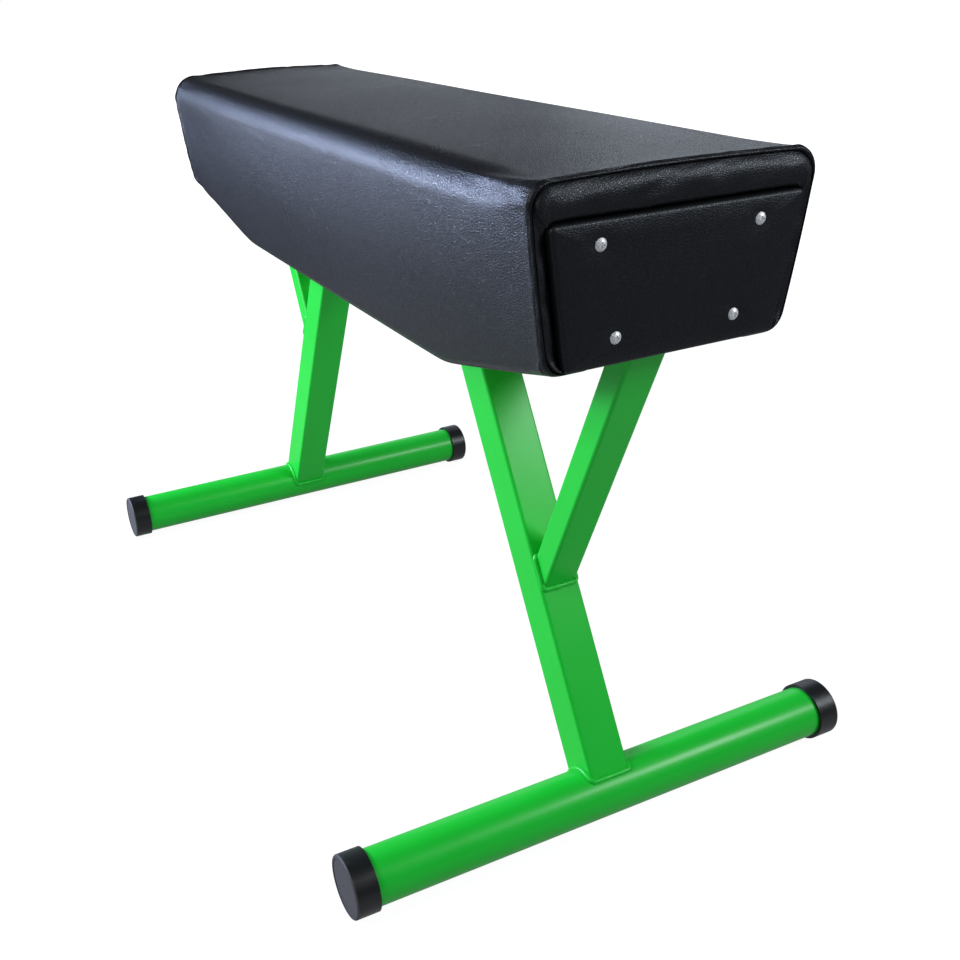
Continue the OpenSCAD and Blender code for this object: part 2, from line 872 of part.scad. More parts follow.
// Button-headed screw with a cross recess, seen with its head upwards
module end_screw() {
    head_h = screw_head_d / 4;
    ball_r = (head_h * head_h + screw_head_d * screw_head_d / 4) / (2 * head_h);
    seat_h = end_seat + end_proud + hole_gap;
    slot_w = screw_d / 4;
    difference() {
        union() {
            translate([0, 0, -end_panel_t - board_t / 2])
                cylinder(d = screw_d, h = seat_h + end_panel_t + board_t / 2 + head_h / 2, $fn = small_fn);
            intersection() {
                translate([0, 0, seat_h])
                    cylinder(d = screw_head_d, h = head_h, $fn = round_fn);
                translate([0, 0, seat_h + head_h - ball_r])
                    sphere(r = ball_r, $fn = round_fn);
            }
        }
        for (a = [0, 90])
            translate([0, 0, seat_h + head_h])
                rotate([0, 0, a])
                    cube([screw_d, slot_w, head_h], center = true);
    }
}

module end_screws() {
    color(silver)
        at_screws()
            end_screw();
}

foot_tube();  // foot_tube_front
at_rear() foot_tube();  // foot_tube_rear
foot_cap(1);  // foot_cap_front_left
foot_cap(-1);  // foot_cap_front_right
at_rear() foot_cap(1);  // foot_cap_rear_left
at_rear() foot_cap(-1);  // foot_cap_rear_right
post(front_leg);  // post_front
at_rear() post(rear_leg);  // post_rear
branch(front_leg);  // branch_front
at_rear() branch(rear_leg);  // branch_rear
foot_weld(front_leg);  // foot_weld_front
at_rear() foot_weld(rear_leg);  // foot_weld_rear
branch_weld(front_leg);  // branch_weld_front
at_rear() branch_weld(rear_leg);  // branch_weld_rear
post_plate(front_leg);  // post_plate_front
at_rear() post_plate(rear_leg);  // post_plate_rear
branch_plate(front_leg);  // branch_plate_front
at_rear() branch_plate(rear_leg);  // branch_plate_rear
plate_weld(front_leg);  // plate_weld_front
at_rear() plate_weld(rear_leg);  // plate_weld_rear
plate_bolts(front_leg);  // plate_bolts_front
at_rear() plate_bolts(rear_leg);  // plate_bolts_rear
plate_washers(front_leg);  // plate_washers_front
at_rear() plate_washers(rear_leg);  // plate_washers_rear
tee_nuts(front_leg);  // tee_nuts_front
at_rear() tee_nuts(rear_leg);  // tee_nuts_rear
top_board();
side_board(1);  // side_board_left
side_board(-1);  // side_board_right
bottom_board();
slope_board(front_leg);  // slope_board_front
at_rear() slope_board(rear_leg);  // slope_board_rear
box_end(front_leg);  // box_end_front
at_rear() box_end(rear_leg);  // box_end_rear
bulkhead();  // bulkhead_front
at_rear() bulkhead();  // bulkhead_rear
top_foam();
side_foam(1);  // side_foam_left
side_foam(-1);  // side_foam_right
cover();
end_panel();  // end_panel_front
at_rear() end_panel();  // end_panel_rear
end_board();  // end_board_front
at_rear() end_board();  // end_board_rear
end_pad();  // end_pad_front
at_rear() end_pad();  // end_pad_rear
end_screws();  // end_screws_front
at_rear() end_screws();  // end_screws_rear
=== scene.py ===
# %% [markdown]
# # A padded gymnastics bench
# The real bench is a timber box under foam and black leather cloth, carried by two welded legs of
# square tube on round feet. The CAD model already has every tube, cap, board and bolt in its real
# size, so this script only adds what a camera sees: the swell of the padding, seams, stitches,
# weld beads, and a finish for every surface. Everything is in metres, +X runs to the front end.

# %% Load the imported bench
import math

import bpy
import numpy as np
from mathutils import Matrix, Vector
from mathutils.bvhtree import BVHTree


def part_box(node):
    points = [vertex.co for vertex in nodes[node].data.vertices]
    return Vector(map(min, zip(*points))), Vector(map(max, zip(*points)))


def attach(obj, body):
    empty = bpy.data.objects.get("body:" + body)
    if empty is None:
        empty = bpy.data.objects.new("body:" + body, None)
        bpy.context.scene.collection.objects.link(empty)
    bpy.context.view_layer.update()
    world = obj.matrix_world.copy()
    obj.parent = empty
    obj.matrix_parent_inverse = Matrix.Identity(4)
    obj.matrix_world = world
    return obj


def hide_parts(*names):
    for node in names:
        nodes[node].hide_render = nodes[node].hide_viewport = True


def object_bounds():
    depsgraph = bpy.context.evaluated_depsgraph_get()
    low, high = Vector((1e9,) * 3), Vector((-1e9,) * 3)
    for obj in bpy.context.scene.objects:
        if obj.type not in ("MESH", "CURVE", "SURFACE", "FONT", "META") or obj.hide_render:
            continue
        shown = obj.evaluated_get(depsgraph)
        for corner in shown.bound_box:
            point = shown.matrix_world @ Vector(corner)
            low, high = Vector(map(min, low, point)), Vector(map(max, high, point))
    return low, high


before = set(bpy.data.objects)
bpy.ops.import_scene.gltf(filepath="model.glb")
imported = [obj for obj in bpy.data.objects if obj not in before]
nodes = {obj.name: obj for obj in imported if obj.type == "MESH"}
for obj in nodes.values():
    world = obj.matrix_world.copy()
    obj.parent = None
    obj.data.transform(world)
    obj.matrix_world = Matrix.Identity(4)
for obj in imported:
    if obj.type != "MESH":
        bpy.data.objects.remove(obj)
cad_low, cad_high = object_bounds()
print("loaded", len(nodes), "pieces, size", [round(v, 3) for v in cad_high - cad_low])

# %% [markdown]
# The camera comes first, because every later choice is checked through it. Its place was fitted to
# the photograph: a view from a little above the front end, slightly to the right of the bench.
# The picture's middle isn't quite on the lens axis, so a small shift moves the frame across.

# %% Place the camera
SENSOR = 36
PICTURE = 960
FOCAL_PIXELS = 1090.6
AXIS_ACROSS, AXIS_DOWN = 384.0, 478.2
LOOK_AZIMUTH, LOOK_ELEVATION, LOOK_ROLL = (math.radians(a) for a in (-24.143, 25.821, -2.425))
STAND = Vector((1.24098, -0.60411, 0.89788))

back = Vector(
    (
        math.cos(LOOK_ELEVATION) * math.cos(LOOK_AZIMUTH),
        math.cos(LOOK_ELEVATION) * math.sin(LOOK_AZIMUTH),
        math.sin(LOOK_ELEVATION),
    )
)
level = Vector((0, 0, 1)).cross(back).normalized()
upright = back.cross(level)
right = math.cos(LOOK_ROLL) * level + math.sin(LOOK_ROLL) * upright
up = math.cos(LOOK_ROLL) * upright - math.sin(LOOK_ROLL) * level

lens = bpy.data.cameras.new("camera")
lens.sensor_width = SENSOR
lens.lens = FOCAL_PIXELS / PICTURE * SENSOR
lens.shift_x = (PICTURE / 2 - AXIS_ACROSS) / PICTURE
lens.shift_y = (AXIS_DOWN - PICTURE / 2) / PICTURE
lens.clip_start, lens.clip_end = 0.05, 60
camera = bpy.data.objects.new("camera", lens)
facing = Matrix((right, up, back)).transposed().to_4x4()
camera.matrix_world = Matrix.Translation(STAND) @ facing
bpy.context.scene.collection.objects.link(camera)
bpy.context.scene.camera = camera
print("lens", round(lens.lens, 1), "mm, shift", round(lens.shift_x, 3))

# %% [markdown]
# Shader maths reads best as plain expressions. `Wire` wraps one output of a node, and each operator
# on it adds a Math node. `Finish` is one material: its `node` method makes any node from its type,
# its settings and the values or wires of its sockets.


# %% Two small helpers for finishes
class Wire:
    """One output of a shader node."""

    def __init__(self, finish, socket):
        self.finish = finish
        self.socket = socket

    def maths(self, operation, first, second):
        return self.finish.node("ShaderNodeMath", {"operation": operation}, {0: first, 1: second})

    def __add__(self, other):
        return self.maths("ADD", self, other)

    def __sub__(self, other):
        return self.maths("SUBTRACT", self, other)

    def __rsub__(self, other):
        return self.maths("SUBTRACT", other, self)

    def __mul__(self, other):
        return self.maths("MULTIPLY", self, other)

    __radd__ = __add__
    __rmul__ = __mul__

    def at_most(self, limit):
        return self.maths("MINIMUM", self, limit)

    def steps(self, low, high):
        """0 below low, 1 above high, and smooth between."""
        return self.finish.node(
            "ShaderNodeMapRange",
            {"interpolation_type": "SMOOTHSTEP"},
            {"Value": self, "From Min": low, "From Max": high},
        )


class Finish:
    """One material, or the sky, and the nodes in it."""

    def __init__(self, name, sky=None):
        self.material = sky or bpy.data.materials.new(name)
        self.material.use_nodes = True
        self.tree = self.material.node_tree
        self.tree.nodes.clear()
        self.place = self.node("ShaderNodeTexCoord", {}, {}, "Object")

    def node(self, kind, settings, sockets, output=0):
        made = self.tree.nodes.new(kind)
        for name, value in settings.items():
            setattr(made, name, value)
        for name, value in sockets.items():
            if isinstance(value, Wire):
                self.tree.links.new(value.socket, made.inputs[name])
            else:
                made.inputs[name].default_value = value
        return Wire(self, made.outputs[output]) if made.outputs else None

    def stretched(self, along, across, up_down):
        """Coordinates in metres, scaled by three numbers."""
        factors = (along, across, up_down)
        return self.node(
            "ShaderNodeVectorMath", {"operation": "MULTIPLY"}, {0: self.place, 1: factors}
        )

    def noise(self, scale, detail=2.0, place=None, output="Fac"):
        sockets = {"Vector": place or self.place, "Scale": scale, "Detail": detail}
        return self.node("ShaderNodeTexNoise", {}, sockets, output)

    def cells(self, scale, feature, place=None):
        sockets = {"Vector": place or self.place, "Scale": scale}
        return self.node("ShaderNodeTexVoronoi", {"feature": feature}, sockets, "Distance")

    def blend(self, mask, first, second):
        """A colour between two, by a mask."""
        return self.node("ShaderNodeMix", {"data_type": "RGBA"}, {0: mask, 6: first, 7: second}, 2)

    def bump(self, height, depth, strength):
        sockets = {"Height": height, "Distance": depth, "Strength": strength}
        return self.node("ShaderNodeBump", {}, sockets)

    def surface(self, **sockets):
        """Closes the material with a Principled shader."""
        named = {name.replace("_", " "): value for name, value in sockets.items()}
        shader = self.node("ShaderNodeBsdfPrincipled", {}, named)
        self.node("ShaderNodeOutputMaterial", {}, {"Surface": shader})
        print("finish", self.material.name, "with", len(self.tree.nodes), "nodes")
        return self.material


def linear(value):
    """One number of a screen's colour, 0 to 255, as an amount of light, 0 to 1."""
    if value < 10.3:
        return value / 255 / 12.92
    return ((value / 255 + 0.055) / 1.055) ** 2.4


def shade(red, green, blue):
    """A colour as a screen shows it, turned into Blender's linear numbers."""
    return linear(red), linear(green), linear(blue), 1


print("screen grey 128 is", round(linear(128), 3), "of white light")


# %% [markdown]
# The legs are powder coated: a sprayed plastic skin, baked until it flows. It keeps a faint orange
# peel, a soft gloss, and a slightly uneven tone where the powder lies thicker.

# %% Green powder coat
coat = Finish("green_powder_coat")
patches = coat.noise(9, 3)
peel = coat.noise(520, 1)
dust = coat.noise(2600, 1).steps(0.70, 0.78)
powder = coat.blend(patches, shade(18, 190, 46), shade(24, 202, 56))
green_finish = coat.surface(
    Base_Color=coat.blend(dust * 0.25, powder, shade(90, 225, 110)),
    Roughness=0.32 + patches * 0.10,
    Normal=coat.bump(peel, 0.0006, 0.14),
    Specular_IOR_Level=0.28,
    Coat_Weight=0.10,
    Coat_Roughness=0.2,
)

# %% [markdown]
# The cover is leather cloth: black vinyl on a woven back, embossed with a fine pebble grain. The
# grain is a field of small rounded cells with creases between them. A warped Voronoi texture gives
# the creases, and noise breaks up its regularity. The creases are painted darker, as painted shade.
# The roughness follows the grain. Cloth that is pulled tight over a board or a roll is flatter and
# duller, so it gets less grain and less gloss, and it is painted a little paler, as painted light.
# Along the topstitch the needle has crushed the vinyl into a thin dull line, which is also painted
# darker, as the painted shade of its groove.


# %% Black leather cloth
NEEDLE_LINE = 0.5104  # how far the topstitches lie from the bench's middle
PEBBLES, PITS = 430, 1000  # cells in a metre
WARP = 0.003


def leather(name, rough, grain, pale):
    """Leather cloth: rough is its least roughness, and pale paints light into its colours."""
    cloth = Finish(name)
    along = cloth.node("ShaderNodeSeparateXYZ", {}, {0: cloth.place}, "X")
    off_line = along.maths("ABSOLUTE", along.maths("ABSOLUTE", along, 0.0) - NEEDLE_LINE, 0.0)
    crushed_and_shaded = 1 - off_line.steps(0.0006, 0.0013)
    drift = cloth.noise(95, 2, output="Color")
    warped = cloth.node(
        "ShaderNodeVectorMath",
        {"operation": "MULTIPLY_ADD"},
        {0: drift, 1: (WARP, WARP, WARP), 2: cloth.place},
    )
    pebbles = (cloth.cells(PEBBLES, "DISTANCE_TO_EDGE", warped) * 4.0).at_most(1.0)
    pits = cloth.cells(PITS, "F1", warped)
    tone = cloth.noise(5, 3)
    height = pebbles * 0.65 + pits * 0.25 + cloth.noise(900, 2) * 0.3
    dark, light = (shade(*(v + pale for v in rgb)) for rgb in ((16, 17, 19), (22, 23, 26)))
    # the colour is painted darker in the grain's creases and along the needle line: painted shade
    return cloth.surface(
        Base_Color=cloth.blend(
            pebbles * (1 - crushed_and_shaded * 0.8), shade(10, 10, 11), cloth.blend(tone, dark, light)
        ),
        Roughness=rough + tone * 0.08 + (1 - pebbles) * 0.16 + crushed_and_shaded * 0.5,
        Normal=cloth.bump(height, 0.0010, grain),
        Specular_IOR_Level=0.38,
        Specular_Tint=(0.84, 0.91, 1.0, 1),
    )


leather_finish = leather("leather_cloth", 0.24, 0.30, 0)
# the tight cloth of the end pieces is painted 6 steps paler, as painted light
tight_leather_painted_lighter_finish = leather("tight_leather_painted_lighter_cloth", 0.32, 0.25, 6)

# %% [markdown]
# The feet end in moulded caps. Soft black plastic has a fine matt texture from its mould, and grey
# scuffs where it has been pushed over floors. The flat end of a cap is paler and duller all over.

# %% Cap rubber
CAP_FACE = 0.3176, 0.3186  # the caps' end faces lie further out than this
rubber = Finish("cap_rubber")
mould_texture = rubber.noise(1800, 2)
scuff = rubber.noise(38, 4).steps(0.56, 0.74)
out_along = rubber.node("ShaderNodeSeparateXYZ", {}, {0: rubber.place}, "Y")
pale_face = out_along.maths("ABSOLUTE", out_along, 0.0).steps(*CAP_FACE)
skin = rubber.blend(scuff * 0.4, shade(17, 19, 21), shade(44, 45, 47))
rubber_finish = rubber.surface(
    # the flat end face is given a paler grey and more roughness
    Base_Color=rubber.blend(pale_face, skin, shade(66, 66, 68)),
    Roughness=0.36 + pale_face * 0.2 + scuff * 0.12,
    Normal=rubber.bump(mould_texture, 0.0004, 0.22),
)

# %% [markdown]
# Two metals follow. The screws are bright plated steel, a little mottled from handling. Their
# near-white, mostly diffuse colour is partly painted reflection of the bright plating. The hidden
# bolts and washers have a duller zinc skin with the pattern of its crystals.

# %% Screw steel and zinc
steel = Finish("screw_steel")
mottle = steel.noise(900, 3)
steel_finish = steel.surface(
    # near-white colour with little metal in it: partly painted reflection of the plating
    Base_Color=steel.blend(mottle.steps(0.35, 0.65), shade(196, 197, 200), shade(253, 253, 253)),
    Metallic=0.3,
    Roughness=0.26 + mottle * 0.3,
    Normal=steel.bump(steel.noise(1400, 2), 0.0002, 0.25),
)

zinc = Finish("zinc")
spangle = zinc.cells(240, "F1")
zinc_finish = zinc.surface(
    Base_Color=zinc.blend(spangle, shade(186, 188, 190), shade(214, 216, 216)),
    Metallic=1.0,
    Roughness=0.30 + spangle * 0.25,
    Normal=zinc.bump(zinc.noise(700, 2), 0.0002, 0.2),
)

# %% [markdown]
# The timber is birch plywood. Its grain runs along the bench, so a noise stretched along X makes
# the streaks, and a finer one the pores. The foam inside is plain and full of tiny open cells. The
# thread of the stitches is dark and twisted, so a fine noise shows its strands.

# %% Plywood, foam and thread
ply = Finish("plywood")
streaks = ply.noise(30, 4, ply.stretched(0.12, 1.6, 1.6))
pores = ply.noise(420, 2, ply.stretched(0.06, 1, 1)).steps(0.58, 0.72)
veneer = ply.blend(streaks, shade(196, 160, 108), shade(224, 194, 146))
ply_finish = ply.surface(
    Base_Color=ply.blend(pores * 0.5, veneer, shade(150, 112, 70)),
    Roughness=0.62 + streaks * 0.12,
    Normal=ply.bump(streaks * 0.6 + pores * -0.4, 0.0004, 0.4),
)

padding = Finish("foam")
bubbles = padding.cells(900, "F1")
foam_finish = padding.surface(
    Base_Color=padding.blend(bubbles, shade(205, 196, 158), shade(232, 224, 190)),
    Roughness=0.9 + bubbles * 0.05,
    Normal=padding.bump(bubbles, 0.0006, 0.5),
)

thread = Finish("thread")
strands = thread.noise(2600, 2, thread.stretched(1, 1, 3))
thread_finish = thread.surface(
    Base_Color=thread.blend(strands, shade(14, 13, 13), shade(46, 42, 40)),
    Roughness=0.5 + strands * 0.15,
    Normal=thread.bump(strands, 0.0002, 0.5),
)

# %% [markdown]
# The record names a slot for every CAD piece. One table turns the slots into the finishes above.

# %% Give every CAD piece its finish
FINISHES = {
    "green_powder_coat": green_finish,
    "leather_cloth": leather_finish,
    "cap_rubber": rubber_finish,
    "screw_steel": steel_finish,
    "zinc": zinc_finish,
    "plywood": ply_finish,
    "foam": foam_finish,
}
for piece in nodes.values():
    for place in piece.material_slots:
        place.material = FINISHES[place.material.name.split(".")[0]]
print("finished", len(nodes), "CAD pieces")

# %% [markdown]
# The padded body is drawn from the same measures as the timber and foam under it: slanting sides
# that swell a little, a crowned top with two soft edges, and an underside that rises to both ends.
# One function gives half of its section at any height of the underside, so that the cover, the end
# panels and the stitches all follow the same curve. The top edges aren't alike on the real bench:
# the left one is tighter, and the right one tightens where it comes to the front seam.

# %% The body's measures
cover_low, cover_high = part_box("cover")
SEAM_X = cover_high.x
TOP_Z = cover_high.z
BELLY_Z = cover_low.z
CROWN, TIMBER_CROWN = 0.0022, 0.005
SHOULDER_Z = TOP_Z - CROWN
END_DEPTH = 0.169
END_Z = TOP_Z - END_DEPTH
SLOPE_LENGTH = 0.211
SLOPE = (END_Z - BELLY_Z) / SLOPE_LENGTH
TOP_HALF, END_HALF = 0.152, 0.127
LEAN = math.atan((TOP_HALF - END_HALF) / (TOP_Z - TIMBER_CROWN - END_Z))
LOW_RADIUS, END_LOW_RADIUS = 0.012, 0.019
LEFT_EDGE, RIGHT_EDGE, FRONT_RIGHT_EDGE = 0.024, 0.034, 0.020
SWELL = 0.002
TURN_IN = 0.042
CLOTH = 0.0015
ROUND_LENGTH, ROUND_DEPTH = 0.0095, 0.0034
BOARD_SEAT = 0.009
BOARD_PROUD = 0.006
print("lean of the sides", round(math.degrees(LEAN), 1), "degrees")


# %% Half of the section
def half_width(z, inset):
    """How far the flat of a side stands out at a height."""
    return END_HALF + (z - END_Z) * math.tan(LEAN) - inset / math.cos(LEAN)


def swell(z):
    """How far the foam pushes the side out of its flat."""
    low, high = BELLY_Z + LOW_RADIUS, SHOULDER_Z - RIGHT_EDGE
    u = (z - low) / (high - low)
    return 4 * SWELL * max(u, 0) * max(1 - u, 0)


def arc(centre, radius, start, end, steps):
    return [
        (centre[0] + radius * math.cos(a), centre[1] + radius * math.sin(a))
        for a in np.linspace(start, end, steps + 1)
    ]


UNDER_STEPS, LOW_STEPS, SIDE_STEPS, HIGH_STEPS, OVER_STEPS = 4, 6, 20, 13, 14


def half_section(low_z, inset, drawn, from_y, low_corner, high_corner):
    """Points from the underside at from_y, round the side, to the middle of the top."""
    top = SHOULDER_Z - inset - drawn
    low_z = low_z + 0.55 * drawn
    high_radius, low_radius = high_corner - inset, low_corner - inset
    shoulder = (half_width(top - high_radius, inset + drawn + high_radius), top - high_radius)
    skirt_z = low_z + low_corner
    skirt = (half_width(skirt_z, inset + drawn + low_radius) + swell(skirt_z), skirt_z)
    under = [(y, low_z + inset) for y in np.linspace(from_y, skirt[0], UNDER_STEPS + 1)[:-1]]
    low = arc(skirt, low_radius, -math.pi / 2, -LEAN, LOW_STEPS)
    high = arc(shoulder, high_radius, -LEAN, math.pi / 2, HIGH_STEPS)
    heights = np.linspace(low[-1][1], high[0][1], SIDE_STEPS + 2)[1:-1]
    side = [(half_width(z, inset + drawn) + swell(z), z) for z in heights]
    shares = np.linspace(1, 0, OVER_STEPS + 1)[1:]
    over = [(shoulder[0] * u, top + CROWN * (1 - u * u)) for u in shares]
    return under + low + side + high + over


def smooth_share(value):
    """0 to 1 with a soft start and a soft end."""
    value = min(max(value, 0.0), 1.0)
    return value * value * (3 - 2 * value)


EDGE_CHANGE, CORNER_CHANGE = 0.09, 0.08


def edge_radius(x, side):
    """Radius of a top edge: side is 1 on the left and -1 on the right."""
    if side > 0:
        return LEFT_EDGE
    share = smooth_share((SEAM_X - x) / EDGE_CHANGE)
    return FRONT_RIGHT_EDGE + (RIGHT_EDGE - FRONT_RIGHT_EDGE) * share


def whole_section(x, low_z, inset, drawn, from_y):
    """Both halves of a section, from one end of its path to the other."""
    share = smooth_share(1 - (SEAM_X - abs(x)) / CORNER_CHANGE)
    corner = LOW_RADIUS + (END_LOW_RADIUS - LOW_RADIUS) * share
    left, right = (
        half_section(low_z, inset, drawn, from_y, corner, edge_radius(x, side)) for side in (1, -1)
    )
    return left + [(-y, z) for y, z in reversed(right[:-1])]


print("points in a section:", len(whole_section(0, BELLY_Z, 0, 0, END_HALF - TURN_IN)))

# %% [markdown]
# Every padded piece is a grid: rows along the bench, columns round it. A grid is easy to pin, to
# swell and to fold, and its quads subdivide cleanly.


# %% Build a piece from a grid of points
def add_piece(name, points, faces, finish):
    """A smooth mesh that rides on the bench."""
    mesh = bpy.data.meshes.new(name)
    mesh.from_pydata([tuple(p) for p in points], [], faces)
    mesh.update()
    mesh.shade_smooth()
    mesh.materials.append(finish)
    piece = bpy.data.objects.new(name, mesh)
    bpy.context.scene.collection.objects.link(piece)
    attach(piece, "root")
    return piece


def grid_faces(rows, columns, closed):
    """The quads between the rows of a grid, closed into rings or not."""
    faces = []
    for row in range(rows - 1):
        here, above = row * columns, (row + 1) * columns
        for c in range(columns if closed else columns - 1):
            after = (c + 1) % columns
            faces.append((here + c, here + after, above + after, above + c))
    return faces


def subdivide(piece):
    step = piece.modifiers.new("subdivision", "SUBSURF")
    step.levels = step.render_levels = 1


print("a grid of 3 rows by 4 points has", len(grid_faces(3, 4, False)), "faces")


# %% [markdown]
# Foam pushes the cloth outwards everywhere, and the seams hold it back. That balance is what makes
# padding look full, so the cover is a cloth simulation: held at its seams and at its turned-in
# edges, blown out by a light pressure from a shape that starts slightly too small. A point may move
# only a few millimetres, because the foam under it is firm.


# %% Let a padded piece settle
FRAMES = 20


def settle(name, points, faces, held, pressure, most):
    """Where the points go under pressure: held is 1 at a fixed point, most the longest way."""
    mesh = bpy.data.meshes.new(name)
    mesh.from_pydata([tuple(p) for p in points], [], faces)
    trial = bpy.data.objects.new(name, mesh)
    bpy.context.scene.collection.objects.link(trial)
    group = trial.vertex_groups.new(name="held")
    for index, weight in enumerate(held):
        if weight > 0:
            group.add([index], float(weight), "REPLACE")
    cloth = trial.modifiers.new("cloth", "CLOTH")
    rules = cloth.settings
    rules.quality = 6
    rules.mass = 0.3
    rules.tension_stiffness = rules.compression_stiffness = 18
    rules.shear_stiffness = 6
    rules.bending_stiffness = 0.6
    rules.vertex_group_mass = "held"
    rules.pin_stiffness = 5
    rules.use_pressure = True
    rules.uniform_pressure_force = pressure
    rules.effector_weights.gravity = 0
    rules.shrink_min = -0.004
    cloth.collision_settings.use_collision = False
    cloth.point_cache.frame_start, cloth.point_cache.frame_end = 1, FRAMES
    scene = bpy.context.scene
    for frame_number in range(1, FRAMES + 1):
        scene.frame_set(frame_number)
    settled = trial.evaluated_get(bpy.context.evaluated_depsgraph_get()).to_mesh()
    moved = np.array([v.co[:] for v in settled.vertices]) - points
    bpy.data.objects.remove(trial)
    scene.frame_set(1)
    length = np.linalg.norm(moved, axis=1, keepdims=True) + 1e-9
    furthest, usual = (round(float(v) * 1000, 2) for v in (length.max(), length.mean()))
    print(name, "wanted to move", furthest, "mm, and", usual, "mm on average")
    return points + moved * (np.tanh(length / most) * most / length)


# %% [markdown]
# The cover starts at the seam of one end, curls out of the seam's groove, rounds into the long
# sides and runs to the other end. Its hem is turned in under the body and ends in a cut edge.

# %% The cover's stations
CURL = [(0.0042, 0.0022), (0.0024, 0.0014), (0.0008, 0.0006)]
STITCH_IN = 0.0066
GROOVE, GROOVE_WIDTH = 0.0022, 0.0007
END_WAYS = [0, 0.0006, 0.0016, 0.003, 0.0042, 0.0052, 0.0058, 0.0062, 0.0066, 0.007, 0.0074]
END_WAYS += [0.008, 0.009, 0.0105, 0.0125, 0.015]


def corner_draw(way):
    """How far the cloth is drawn in at a distance from the seam, with the topstitch's groove."""
    share = min(way / ROUND_LENGTH, 1.0)
    rounding = ROUND_DEPTH * (1 - math.sqrt(1 - (1 - share) ** 2))
    return rounding + GROOVE * math.exp(-(((way - STITCH_IN) / GROOVE_WIDTH) ** 2))


def end_fixed(way):
    """1 where the cloth is sewn, at the seam and along the topstitch."""
    return 1.0 if way < 0.001 or abs(way - STITCH_IN) < GROOVE_WIDTH else 0.0


near_end = [(SEAM_X - way, ROUND_DEPTH + depth, 1.0) for way, depth in CURL]
near_end += [(SEAM_X - way, corner_draw(way), end_fixed(way)) for way in END_WAYS]
middle = [(x, 0.0, 0.0) for x in np.linspace(SEAM_X - END_WAYS[-1], 0, 56)[1:]]
stations = near_end + middle
stations += [(-x, drawn, fixed) for x, drawn, fixed in reversed(stations[:-1])]


def under_z(x, easing):
    """Height of the underside, with its bends eased over a short length."""
    way = SEAM_X - abs(x)
    eased = 0.5 * (way + SLOPE_LENGTH - math.sqrt((way - SLOPE_LENGTH) ** 2 + easing**2))
    return END_Z - max(eased, 0) * SLOPE


print("stations along the cover:", len(stations))

# %% The cover's shape
SLACK, SLACK_FROM_SEAM = 0.0008, 0.08
SOFT_BEND, SHARP_BEND = 0.018, 0.013
COVER_PRESSURE, COVER_MOST = 6.0, 0.0030
rows, held = [], []
for x, drawn, fixed in stations:
    small = SLACK * smooth_share((SEAM_X - abs(x)) / SLACK_FROM_SEAM)
    soft_z, low_z = under_z(x, SOFT_BEND), under_z(x, SHARP_BEND)
    path = whole_section(x, soft_z, small, drawn, END_HALF - TURN_IN)
    hem, side = np.ones(UNDER_STEPS), np.zeros(len(path) - 2 * (UNDER_STEPS + LOW_STEPS + 1))
    falling, rising = np.linspace(1, 0, LOW_STEPS + 1), np.linspace(0, 1, LOW_STEPS + 1)
    sharp = np.r_[hem, falling, side, rising, hem]
    path = [(y, z - (soft_z - low_z) * share) for (y, z), share in zip(path, sharp)]
    hem_z = path[0][1] + CLOTH
    path = [(path[0][0], hem_z)] + path + [(path[-1][0], hem_z)]
    rows.append([(x, y, z) for y, z in path])
    pinned = np.zeros(len(path))
    pinned[: UNDER_STEPS + 3] = pinned[-UNDER_STEPS - 3 :] = 1.0
    held.append(np.maximum(pinned, fixed))
columns = len(rows[0])
cover_points = np.array(rows).reshape(-1, 3)
cover_faces = grid_faces(len(rows), columns, False)
sewn = np.array(held).ravel()
settled = settle("cover_trial", cover_points, cover_faces, sewn, COVER_PRESSURE, COVER_MOST)
print("cover grid", len(rows), "by", columns)

# %% [markdown]
# A machine seam never pulls evenly. Close to it the cloth gathers in small puckers, about a finger
# apart, that fade within a few centimetres, and broad hand-wide waves stay in the long faces.


# %% Puckers and waves
def outward(points, faces):
    """The direction out of the surface at each point."""
    mesh = bpy.data.meshes.new("directions")
    mesh.from_pydata([tuple(p) for p in points], [], faces)
    mesh.update()
    found = np.array([v.normal[:] for v in mesh.vertices])
    bpy.data.meshes.remove(mesh)
    return found


def waves(along, around, seed):
    """A gentle uneven ripple between -1 and 1."""
    chance = np.random.default_rng(seed)
    total = np.zeros_like(along)
    for _ in range(7):
        length, turn = chance.uniform(0.7, 1.6), chance.uniform(-0.6, 0.6)
        phase = chance.uniform(0, math.tau)
        total += np.sin(length * (around * math.cos(turn) + along * math.sin(turn)) + phase)
    return total / 4


PUCKER, WAVE = 0.00045, 0.00035
middle_row = len(rows) // 2
normals = outward(cover_points, cover_faces)
if normals[middle_row * columns + columns // 2][2] < 0:
    normals = -normals
middle_path = cover_points.reshape(len(rows), columns, 3)[middle_row]
girth = np.cumsum(np.r_[0, np.linalg.norm(np.diff(middle_path, axis=0), axis=1)])
around = np.tile(girth, len(rows))
to_seam = SEAM_X - np.abs(cover_points[:, 0])
free = 1 - sewn
puckers = waves(to_seam * 60, around * 290, 5) * np.exp(-to_seam / 0.016)
puckers *= np.clip(to_seam / 0.004, 0, 1)
broad = waves(cover_points[:, 0] * 38, around * 30, 11)
settled = settled + normals * (free * (puckers * PUCKER + broad * WAVE))[:, None]

cover = add_piece("padded_cover", settled, cover_faces, leather_finish)
subdivide(cover)
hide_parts("cover", "top_foam", "side_foam_left", "side_foam_right")
print("cover reaches", round(max(settled[:, 2]), 4), "m high")

# %% [markdown]
# Each end has a padded panel of its own cloth. Above the end board it is loose and stands out as a
# soft roll. Beside the board only a narrow strip is left, which lies flat and sinks into the gap at
# the board. So the panel is lofted in rings from the seam's outline to the board's outline, with
# one height for the roll and another for the strips.


